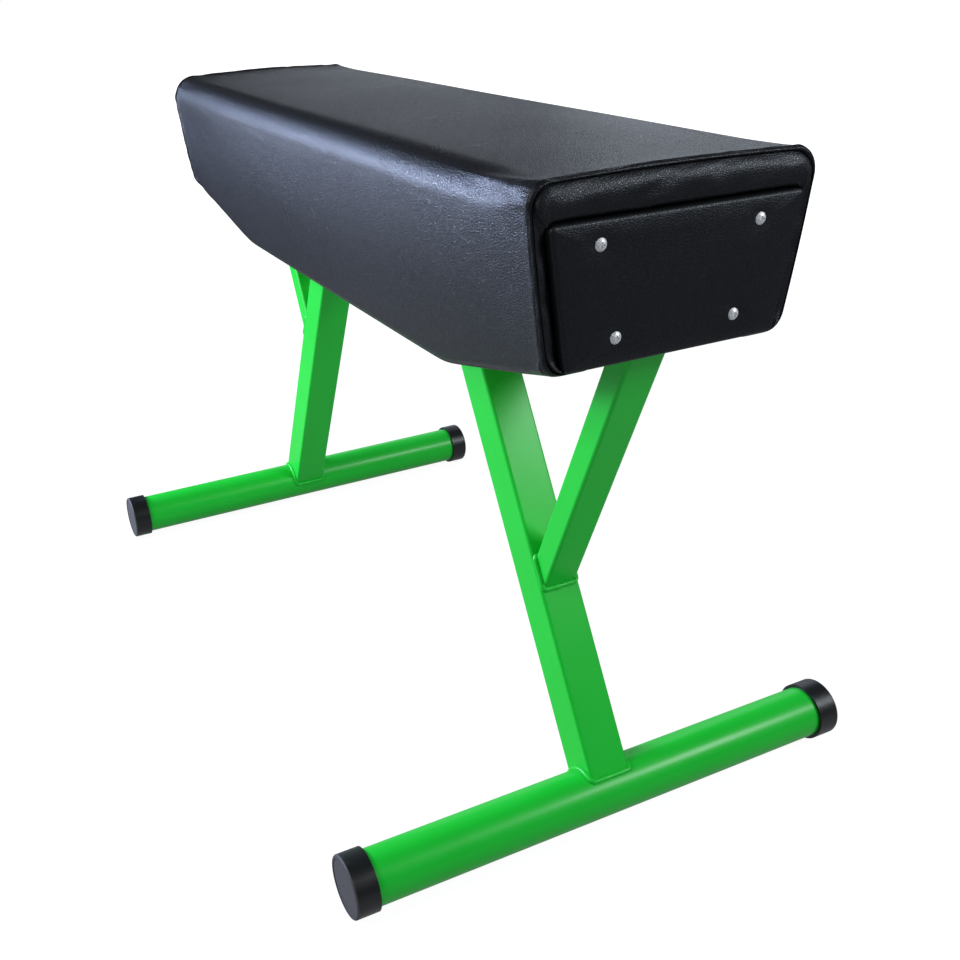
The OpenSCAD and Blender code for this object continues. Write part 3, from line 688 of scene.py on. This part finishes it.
# %% Outlines of an end
def seam_outline(x, inset):
    """The closed outline of the end seam at a place along the bench."""
    return whole_section(x, END_Z, inset, ROUND_DEPTH, 0.0)[:-1]


BOARD_TOP, BOARD_LOW = TOP_Z - 0.039, END_Z + 0.003
BOARD_IN, BOARD_CORNER = 0.0155, 0.005


def board_outline(grow):
    """The end board's outline, grown by a distance, with as many points as the seam's."""
    top, low = BOARD_TOP + grow, BOARD_LOW - grow
    radius = max(BOARD_CORNER + grow, 0.0015)
    high_corner = (half_width(top - radius, BOARD_IN - grow + radius), top - radius)
    low_corner = (half_width(low + radius, BOARD_IN - grow + radius), low + radius)
    under = [(y, low) for y in np.linspace(0, low_corner[0], UNDER_STEPS + 1)[:-1]]
    first = arc(low_corner, radius, -math.pi / 2, -LEAN, LOW_STEPS)
    last = arc(high_corner, radius, -LEAN, math.pi / 2, HIGH_STEPS)
    side = [
        tuple(np.array(first[-1]) + (np.array(last[0]) - np.array(first[-1])) * share)
        for share in np.linspace(0, 1, SIDE_STEPS + 2)[1:-1]
    ]
    over = [(high_corner[0] * u, top) for u in np.linspace(1, 0, OVER_STEPS + 1)[1:]]
    half = under + first + side + last + over
    return half + [(-y, z) for y, z in reversed(half[1:-1])]


middle_spot = np.array([0, (BOARD_TOP + BOARD_LOW) / 2])
print("points round an end:", len(board_outline(0)), len(seam_outline(SEAM_X, 0)))


# %% The end panel
CREST = 0.45  # where the roll is highest, as a share of the way from the seam to the board


def bulge(way):
    """Height of the roll over the board's seat, as a share of the seat's depth."""
    if way < CREST:
        return 0.40 + math.sqrt(1 - ((CREST - way) / CREST) ** 2)
    return 1.40 * (1 - ((way - CREST) / 0.55) ** 7) ** 0.5


def side_height(way):
    """The same beside the board, where the strip lies flat and sinks into the gap at the board."""
    return (0.95 - 0.22 * way) * (1 - max((way - CREST) / 0.55, 0) ** 4) ** 0.5


WAYS = [0.02, 0.06, 0.12, 0.2, 0.28, 0.36, 0.45, 0.54, 0.63, 0.72, 0.8, 0.87, 0.93, 0.97, 0.99, 1.0]
PANEL_INSETS = 0.0018, 0.0010  # from the seam inwards, above the board and beside it
RIM_DEPTHS = 0.015, 0.006, 0.0035  # the panel's hidden rim, behind the seam
board_path = np.array(board_outline(0.0))
print("an end panel has", len(WAYS) + 4, "rings of points")


def panel_grid(seam_x):
    """Points and faces of a front panel that fits the seam at one end, and its width all round."""
    loose_path, close_path = (np.array(seam_outline(seam_x, inset)) for inset in PANEL_INSETS)
    count = len(loose_path)
    column = np.minimum(np.arange(count), count - np.arange(count))
    first_side = UNDER_STEPS + LOW_STEPS + 1
    from_side = np.maximum(first_side - column, column - (first_side + SIDE_STEPS - 1))
    beside = np.clip(1 - from_side / 3, 0, 1)
    seam_path = loose_path + (close_path - loose_path) * beside[:, None]
    strip = np.linalg.norm(seam_path - board_path, axis=1)
    fullness = np.clip((strip - 0.001) / 0.007, 0, 1)
    panel_rows = [[(SEAM_X - depth, y, z) for y, z in seam_path] for depth in RIM_DEPTHS]
    for way in WAYS:
        flat = 0.72 * (1 - way**6)
        path = seam_path + (board_path - seam_path) * way
        heights = bulge(way) * fullness + flat * (1 - fullness)
        heights = heights * (1 - beside) + side_height(way) * beside
        row_x = [SEAM_X - BOARD_SEAT * (1 - height) for height in heights]
        panel_rows.append([(x, y, z) for x, (y, z) in zip(row_x, path)])
    inner = board_path + (middle_spot - board_path) * 0.12
    panel_rows.append([(SEAM_X - BOARD_SEAT, y, z) for y, z in inner])
    faces = grid_faces(len(panel_rows), count, True)
    faces.append(tuple(range(count))[::-1])
    last = (len(panel_rows) - 1) * count
    faces.append(tuple(last + c for c in range(count)))
    return np.array(panel_rows).reshape(-1, 3), faces, strip


# %% [markdown]
# Cloth that turns a corner has to fold. The creases are cut into the grid as narrow valleys: two
# uneven upright lines on each side strip, and a pleat from each upper corner of the board up to the
# seam, like the mitre of a picture frame. They are cut before the cloth settles, so that the
# pressure rounds their sides.


# %% Creases of the end panel
FIRST_FOLD, SECOND_FOLD, STRIP_SINK = 0.0014, 0.0012, 0.0006
PLEAT_DEPTH, PLEAT_ANGLE = 0.0034, math.radians(5)
GATHER = 0.0003


def valley(distance, width):
    """1 on the line and falling to nothing within about two widths of it."""
    return np.exp(-((distance / width) ** 2))


def creased(points, strip):
    """The panel with its creases, and which of its points are held."""
    way_at = np.repeat(np.array([0, 0, 0] + WAYS + [1.05]), len(strip))
    y_at, z_at = points[:, 1], points[:, 2]
    rows_here = len(way_at) // len(strip)
    narrow = np.tile(1 - np.clip((strip - 0.013) / 0.006, 0, 1), rows_here)
    beside = narrow * np.clip((z_at - END_Z - 0.01) / 0.02, 0, 1)
    first_fold = valley(way_at - (0.34 + 0.05 * np.sin(z_at * 60 + 1)), 0.07)
    second_fold = valley(way_at - (0.68 + 0.04 * np.sin(z_at * 85 + 4)), 0.06)
    depth = beside * (FIRST_FOLD * first_fold + SECOND_FOLD * second_fold)
    depth += beside * STRIP_SINK * np.clip(way_at / 0.3, 0, 1)
    turn = (PLEAT_ANGLE + LEAN) / (math.pi / 2 + LEAN)
    pleat = UNDER_STEPS + LOW_STEPS + 1 + SIDE_STEPS + round(turn * HIGH_STEPS)
    column = np.tile(np.arange(len(strip)), rows_here)
    from_pleat = np.minimum(np.abs(column - pleat), np.abs(column - (len(strip) - pleat)))
    depth += PLEAT_DEPTH * valley(from_pleat, 0.75)
    gather = waves(y_at * 210, z_at * 160, 3) * np.clip(way_at, 0, 1) * (way_at < 0.98)
    loose = (way_at > 0.03) & (way_at < 0.99)
    shape = points.copy()
    shape[:, 0] += np.where(loose, gather * GATHER - depth, 0)
    return shape, np.where(loose, 0.0, 1.0)


# %% Place a panel at each end
PANEL_PRESSURE, PANEL_MOST = 2.0, 0.0008


def add_at_end(kind, end, points, faces):
    """Adds a piece that is drawn for the front end, mirrored where it belongs to the rear one."""
    if end == "front":
        faces = [tuple(reversed(face)) for face in faces]
    else:
        points = points * np.array([-1, 1, 1])
    return add_piece(f"{kind}_{end}", points, faces, tight_leather_painted_lighter_finish)


for end, seam_x in (("front", SEAM_X), ("rear", -SEAM_X)):
    points, faces, strip = panel_grid(seam_x)
    shape, held_here = creased(points, strip)
    name = "panel_trial_" + end
    shape = settle(name, shape, faces[:-2], held_here, PANEL_PRESSURE, PANEL_MOST)
    panel = add_at_end("padded_panel", end, shape, faces)
    subdivide(panel)
    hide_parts("end_panel_" + end)
    print(end, "panel reaches", round(float(shape[:, 0].max()), 4), "m")

# %% [markdown]
# The end board is thin timber under a layer of foam and the same cloth, pulled tight over its edges
# and screwed on through its face. The cloth pillows slightly between the screws and each screw head
# sinks into its own dimple. The back is hollow, because the timber lies in it. Cloth this tight
# keeps its form, so a formula shapes it and no simulation is needed.

# %% The end board's padding
EDGE_RADIUS = 0.0036
PILLOW, DIMPLE, DIMPLE_WIDTH, PAD_WAVE = 0.0013, 0.0016, 0.0105, 0.0003
WALL = 0.003
FACE_SHARES = [0.03, 0.07, 0.12, 0.18, 0.25, 0.33, 0.41, 0.49]
FACE_SHARES += [0.57, 0.65, 0.73, 0.81, 0.88, 0.94, 0.98]
back_x = SEAM_X - BOARD_SEAT + 0.0003
front_x = SEAM_X + BOARD_PROUD
hollow_x = back_x + 0.0083
screw_spots = [
    (side * half_width(z, BOARD_IN + away), z)
    for side in (-1, 1)
    for z, away in ((BOARD_TOP - 0.020, 0.045), (BOARD_LOW + 0.025, 0.052))
]
inside = board_outline(-WALL)
pad_rows = [
    [(x, y, z) for y, z in path]
    for x, path in (
        (hollow_x, inside),
        (back_x, inside),
        (back_x, board_path),
        (back_x + 0.004, board_path),
        (front_x - EDGE_RADIUS - 0.001, board_path),
    )
]
for angle in np.radians([0, 22, 45, 68, 90]):
    path = np.array(board_outline(-EDGE_RADIUS * (1 - math.cos(angle))))
    pad_rows.append([(front_x - EDGE_RADIUS * (1 - math.sin(angle)), y, z) for y, z in path])
FIRST_FACE_ROW = len(pad_rows) - 1
edge_path = np.array(board_outline(-EDGE_RADIUS))
for share in FACE_SHARES:
    path = edge_path + (middle_spot - edge_path) * share
    pad_rows.append([(front_x, y, z) for y, z in path])
pad_columns = len(board_path)
pad_points = np.array(pad_rows).reshape(-1, 3)
pad_faces = grid_faces(len(pad_rows), pad_columns, True)
last_row = (len(pad_rows) - 1) * pad_columns
pad_faces.append(tuple(range(pad_columns))[::-1])
pad_faces.append(tuple(last_row + c for c in range(pad_columns)))

from_edge = np.arange(len(pad_rows)) - FIRST_FACE_ROW
face_share = np.repeat(np.clip(from_edge / 4, 0, 1), pad_columns)
pad_y, pad_z = pad_points[:, 1], pad_points[:, 2]
dimples = sum(valley(np.hypot(pad_y - y, pad_z - z), DIMPLE_WIDTH) for y, z in screw_spots)
ripple = waves(pad_y * 55, pad_z * 55, 21)
pad_shape = pad_points.copy()
pad_shape[:, 0] += face_share * (PILLOW + ripple * PAD_WAVE - dimples * DIMPLE)
print("end board padding grid", len(pad_rows), "by", pad_columns)

# %% Place the padding at each end
for end in ("front", "rear"):
    pad = add_at_end("padded_board", end, pad_shape, pad_faces)
    subdivide(pad)
    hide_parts("end_pad_" + end)
    print(end, "board padded")

# %% [markdown]
# A row of topstitches runs beside each end seam. Each stitch is a short round thread that dips into
# the cloth at both ends, so it is modelled as a bent capsule, and a row of them shares one mesh.


# %% Sew a row of stitches
def surface_of(piece):
    return BVHTree.FromObject(piece, bpy.context.evaluated_depsgraph_get())


def stitch_row(name, path, surface, length=0.0036, gap=0.0012, radius=0.0006):
    """Stitches along a path that lies close to a surface."""
    path = np.array(path)
    way = np.r_[0, np.cumsum(np.linalg.norm(np.diff(path, axis=0), axis=1))]
    count = int(way[-1] / (length + gap))
    points, faces = [], []
    rings, sides = 5, 6
    tube = grid_faces(rings, sides, True)
    for number in range(count):
        middle_way = (number + 0.5) * way[-1] / count
        spots = []
        for share in np.linspace(-0.5, 0.5, rings):
            here = middle_way + share * length
            at = np.array([np.interp(here, way, path[:, axis]) for axis in range(3)])
            spot, normal, _, _ = surface.find_nearest(Vector(at))
            spots.append((spot, normal, share))
        along = (spots[-1][0] - spots[0][0]).normalized()
        first = len(points)
        for spot, normal, share in spots:
            lift = radius * (0.75 - 5.0 * share * share)
            width = radius * math.sqrt(max(1 - (1.96 * share) ** 2, 0.04))
            sideways = along.cross(normal).normalized()
            for turn in range(sides):
                angle = math.tau * turn / sides
                out, aside = lift + width * math.sin(angle), width * math.cos(angle)
                points.append(spot + normal * out + sideways * aside)
        faces += [tuple(first + corner for corner in face) for face in tube]
        faces.append(tuple(first + turn for turn in reversed(range(sides))))
        faces.append(tuple(first + (rings - 1) * sides + turn for turn in range(sides)))
    add_piece(name, points, faces, thread_finish)
    print(name, "has", count, "stitches")


# %% Topstitch both end seams
cover_surface = surface_of(cover)
for end, sign in (("front", 1), ("rear", -1)):
    stitch_x = sign * (SEAM_X - STITCH_IN)
    stitch_path = whole_section(stitch_x, END_Z, 0.0, corner_draw(STITCH_IN), END_HALF - 0.01)
    stitch_row("topstitch_" + end, [(stitch_x, y, z) for y, z in stitch_path], cover_surface)

# %% [markdown]
# Each leg is welded by hand. The torch leaves a bead of overlapping ripples in every joint, and the
# powder softens them. A bead is a thin tube along the line where two tubes meet: round the post on
# its foot tube, and round the branch on the post's outer face. The two legs aren't alike: the rear
# post leans less, and its branch starts higher up. So each leg's lines are worked out from three
# lengths of its own, the same as in the CAD model.

# %% The legs' lines
FOOT_X, FOOT_RADIUS = 0.464, 0.03015
FOOT_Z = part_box("foot_tube_front")[0].z + FOOT_RADIUS
POST_HALF, BRANCH_HALF_ALONG, BRANCH_HALF_ACROSS = 0.025, 0.015, 0.021
PLATE_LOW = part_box("post_plate_front")[0].z
LEGS = {"front": (0.132, 0.043, 0.303), "rear": (0.066, 0.077, 0.206)}
PLATE_SINK = 0.0018


def leg_lines(post_in, branch_in, drop):
    """Lean of the post, place of the joint and lean of the branch.

    post_in is how far the post's top stands in from the slope's end, branch_in how far the branch's
    top stands in from the end seam, and drop how far the joint lies under the end's lower edge.
    """
    post_top_x = SEAM_X - SLOPE_LENGTH - post_in
    post_lean = math.atan((FOOT_X - post_top_x) / (PLATE_LOW - FOOT_Z))
    joint_z = END_Z - drop
    joint_x = FOOT_X - (joint_z - FOOT_Z) * math.tan(post_lean) + POST_HALF / math.cos(post_lean)
    branch_top_z = END_Z + PLATE_SINK - branch_in * SLOPE
    branch_lean = math.atan((SEAM_X - branch_in - joint_x) / (branch_top_z - joint_z))
    leans = [round(math.degrees(lean), 1) for lean in (post_lean, branch_lean)]
    print("post and branch lean", leans, "degrees")
    return post_lean, np.array([joint_x, 0, joint_z]), branch_lean


# %% Lay a weld bead
BEAD, BEAD_STEP, RIPPLE_LENGTH = 0.0030, 0.0011, 0.0030


def rounded_square(half_x, half_y, radius, steps=6):
    """A closed outline with round corners, as evenly spaced points."""
    corners = []
    for turn, (sx, sy) in enumerate(((1, 1), (-1, 1), (-1, -1), (1, -1))):
        start = turn * math.pi / 2
        centre = (sx * (half_x - radius), sy * (half_y - radius))
        corners += arc(centre, radius, start, start + math.pi / 2, steps)
    outline = np.array(corners + corners[:1])
    way = np.r_[0, np.cumsum(np.linalg.norm(np.diff(outline, axis=0), axis=1))]
    even = np.linspace(0, way[-1], int(way[-1] / BEAD_STEP))[:-1]
    return [(np.interp(w, way, outline[:, 0]), np.interp(w, way, outline[:, 1])) for w in even]


def weld_bead(name, path, seed):
    """A rippled tube along a closed path."""
    path = np.array(path)
    chance = np.random.default_rng(seed)
    count, sides = len(path), 10
    ahead = np.roll(path, -1, axis=0) - np.roll(path, 1, axis=0)
    ahead /= np.linalg.norm(ahead, axis=1, keepdims=True)
    middle_point = path.mean(axis=0)
    away = path - middle_point
    away -= ahead * np.sum(away * ahead, axis=1, keepdims=True)
    away /= np.linalg.norm(away, axis=1, keepdims=True)
    side = np.cross(ahead, away)
    way = np.arange(count) * BEAD_STEP
    scales = 0.10 * np.abs(np.sin(way / RIPPLE_LENGTH * math.pi))
    unsteady = 0.05 * np.sin(way / 0.021 * math.tau + chance.uniform(0, 6))
    ripple = 1 + scales + unsteady
    points = []
    for index in range(count):
        for turn in range(sides):
            angle = math.tau * turn / sides
            outwards = away[index] * math.cos(angle) + side[index] * math.sin(angle)
            points.append(path[index] + BEAD * ripple[index] * outwards)
    ring_faces = grid_faces(count, sides, True)
    last = (count - 1) * sides
    ring_faces += [(last + s, last + (s + 1) % sides, (s + 1) % sides, s) for s in range(sides)]
    bead = add_piece(name, points, ring_faces, green_finish)
    print(name, "is", round(count * BEAD_STEP, 3), "m long")
    return bead


# %% Weld the posts and the branches
BEAD_GAP = 0.0008
foot_centre = np.array([FOOT_X, 0, FOOT_Z])
sideways = np.array([0, 1, 0])
for end, turned in (("front", 1), ("rear", -1)):
    post_lean, joint, branch_lean = leg_lines(*LEGS[end])
    post_side = np.array([math.cos(post_lean), 0, math.sin(post_lean)])
    post_up = np.array([-math.sin(post_lean), 0, math.cos(post_lean)])
    branch_side = np.array([math.cos(branch_lean), 0, -math.sin(branch_lean)])
    branch_up = np.array([math.sin(branch_lean), 0, math.cos(branch_lean)])
    slant = 1 / math.tan(branch_lean + post_lean)
    foot_line = []
    for u, v in rounded_square(POST_HALF + BEAD_GAP, POST_HALF + BEAD_GAP, 0.0045):
        height = math.sqrt((FOOT_RADIUS + 0.0006) ** 2 - u * u)
        foot_line.append(foot_centre + u * post_side + v * sideways + height * post_up)
    along, across = BRANCH_HALF_ALONG + BEAD_GAP, BRANCH_HALF_ACROSS + BEAD_GAP
    branch_line = [
        joint + u * branch_side + v * sideways - u * slant * branch_up + 0.0004 * post_side
        for u, v in rounded_square(along, across, 0.004)
    ]
    for kind, line, seed in (("foot", foot_line, 2), ("branch", branch_line, 7)):
        bead = weld_bead(f"{kind}_bead_{end}", np.array(line) * np.array([turned, 1, 1]), seed)
        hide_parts(f"{kind}_weld_{end}")

# %% [markdown]
# A moulded cap keeps two small marks from the pins that pushed it out of its mould, in the middle
# of its face. They are low round buttons, built by turning a profile.


# %% Marks of the mould
DISH_DEPTH = 0.00068
MARK_APART, MARK_RADIUS, MARK_HEIGHT = 0.0042, 0.0013, 0.0005


def turned_button(centre, direction, radius, height):
    """Points and faces of a low dome, its axis along Y."""
    angles = np.linspace(0, math.pi / 2, 5)[:-1]
    profile = [(radius * math.cos(a), height * math.sin(a)) for a in angles]
    sides = 16
    x, y, z = centre
    points = [
        (x + r * math.cos(turn), y + direction * h, z + r * math.sin(turn))
        for r, h in profile
        for turn in (math.tau * s / sides for s in range(sides))
    ]
    points.append((x, y + direction * height, z))
    faces = grid_faces(len(profile), sides, True)
    top = (len(profile) - 1) * sides
    faces += [(top + s, top + (s + 1) % sides, len(points) - 1) for s in range(sides)]
    return points, faces


for end in ("front", "rear"):
    for hand, direction in (("left", 1), ("right", -1)):
        low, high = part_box(f"foot_cap_{end}_{hand}")
        centre = (low + high) / 2
        face_y = (high.y if direction > 0 else low.y) - direction * DISH_DEPTH
        all_points, all_faces = [], []
        for dx in (-MARK_APART, MARK_APART):
            spot = (centre.x + dx, face_y, centre.z)
            points, faces = turned_button(spot, direction, MARK_RADIUS, MARK_HEIGHT)
            all_faces += [tuple(i + len(all_points) for i in face) for face in faces]
            all_points += points
        add_piece(f"cap_marks_{end}_{hand}", all_points, all_faces, rubber_finish)
print("marked four caps")

# %% [markdown]
# The studio is plain: a wide white floor, an even sky, a large soft lamp high on the bench's right
# side, and one in front of it on the left for the end panel's roll. Three small bluish lamps behind
# it on the right give the long highlight on the right top edge, and three weak ones on the left the
# sheen of the top. The floor shows itself to the camera mostly as flat white, and the rest of it
# takes the shadow. What the black cloth mirrors is darker: a dim room, and a floor that is pale
# near the bench only. White all round would be easier, but the cloth would mirror it and turn grey.

# %% Floor
FLOOR, FLOOR_GAP = 24, 0.0004
FLAT_WHITE = 0.72  # how much of the floor near the bench is flat white to the camera
floor_mesh = bpy.data.meshes.new("floor")
floor_corners = [(x * FLOOR, y * FLOOR, 0) for x, y in ((-1, -1), (1, -1), (1, 1), (-1, 1))]
floor_mesh.from_pydata(floor_corners, [], [(0, 1, 2, 3)])
floor = bpy.data.objects.new("floor", floor_mesh)
floor.location.z = cad_low.z - FLOOR_GAP
bpy.context.scene.collection.objects.link(floor)

paper = Finish("white_floor")
seen = paper.node("ShaderNodeLightPath", {}, {}, "Is Camera Ray")
through = paper.node("ShaderNodeLightPath", {}, {}, "Is Transmission Ray")
from_bench = paper.node("ShaderNodeVectorMath", {"operation": "LENGTH"}, {0: paper.place}, "Value")
mirrored = paper.node("ShaderNodeLightPath", {}, {}, "Is Glossy Ray")
flat_share = FLAT_WHITE + from_bench.steps(1.1, 2.6) * (1 - FLAT_WHITE)
# for glossy rays the floor glows pale near the bench and dim beyond: a painted pool of light
dim_floor = paper.blend(from_bench.steps(0.7, 2.0), (0.30, 0.31, 0.33, 1), (0.05, 0.052, 0.06, 1))
flat_colour = paper.blend(mirrored, (1, 1, 1, 1), dim_floor)
lit = paper.node("ShaderNodeBsdfDiffuse", {}, {"Color": (0.42, 0.42, 0.42, 1)})
white = paper.node("ShaderNodeEmission", {}, {"Color": flat_colour, "Strength": 1.31})
shown = ((seen + through) * flat_share + mirrored).at_most(1.0)
mixed = paper.node("ShaderNodeMixShader", {}, {0: shown, 1: lit, 2: white})
paper.node("ShaderNodeOutputMaterial", {}, {"Surface": mixed})
floor_mesh.materials.append(paper.material)
print("floor", 2 * FLOOR, "m wide")


# %% Lamps and sky
def soft_lamp(name, place, aim, size, power, colour):
    """A round lamp of a width in metres and a power in watts that points at aim."""
    light = bpy.data.lights.new(name, "AREA")
    light.shape = "DISK"
    light.size = size
    light.energy = power
    light.color = colour
    lamp = bpy.data.objects.new(name, light)
    lamp.location = place
    lamp.rotation_euler = (Vector(aim) - Vector(place)).to_track_quat("-Z", "Y").to_euler()
    bpy.context.scene.collection.objects.link(lamp)
    print("lamp", name, power, "W")


MIDDLE, TOP = (0, 0, 0.45), (0, -0.05, 0.70)
ROLL, NEAR_CORNER = (0.5, 0, 0.6), (0.45, -0.14, 0.66)
NEUTRAL, COOL = (1.0, 1.0, 1.0), (0.9, 0.95, 1.0)
BLUE, PALE_BLUE, SHEEN = (0.57, 0.68, 1.0), (0.68, 0.76, 1.0), (0.8, 0.88, 1.0)
LAMPS = [
    ("side_lamp", (0.4, -2.4, 2.1), MIDDLE, 1.6, 36, NEUTRAL),
    ("roll_lamp", (2.0, 1.6, 1.9), ROLL, 0.8, 38, COOL),
    ("far_edge_lamp", (-2.85, -1.88, 1.66), TOP, 0.5, 38, BLUE),
    ("near_edge_lamp", (-1.47, -1.73, 0.92), TOP, 0.5, 42, BLUE),
    ("front_edge_lamp", (-1.2, -1.25, 0.62), NEAR_CORNER, 0.5, 22, PALE_BLUE),
    ("near_sheen_lamp", (-1.6, 1.9, 0.75), TOP, 1.2, 3.7, SHEEN),
    ("far_sheen_lamp", (-3.0, 1.3, 0.75), TOP, 1.4, 4.9, SHEEN),
    ("high_sheen_lamp", (-2.6, 2.4, 2.4), TOP, 1.2, 5.6, SHEEN),
]
for lamp_row in LAMPS:
    soft_lamp(*lamp_row)

world = bpy.data.worlds.new("studio")
bpy.context.scene.world = world
sky = Finish("studio", world)
sky_seen = sky.node("ShaderNodeLightPath", {}, {}, "Is Camera Ray")
sky_through = sky.node("ShaderNodeLightPath", {}, {}, "Is Transmission Ray")
sky_mirrored = sky.node("ShaderNodeLightPath", {}, {}, "Is Glossy Ray")
even_colour = sky.blend(sky_mirrored, (0.88, 0.94, 1.0, 1), (0.33, 0.35, 0.38, 1))
even = sky.node("ShaderNodeBackground", {}, {"Color": even_colour, "Strength": 0.24})
plain = sky.node("ShaderNodeBackground", {}, {"Color": (1, 1, 1, 1), "Strength": 1.0})
direct = (sky_seen + sky_through).at_most(1.0)
chosen = sky.node("ShaderNodeMixShader", {}, {0: direct, 1: even, 2: plain})
sky.node("ShaderNodeOutputWorld", {}, {"Surface": chosen})
bpy.context.scene.view_settings.view_transform = "Standard"
print("sky made with", len(sky.tree.nodes), "nodes")
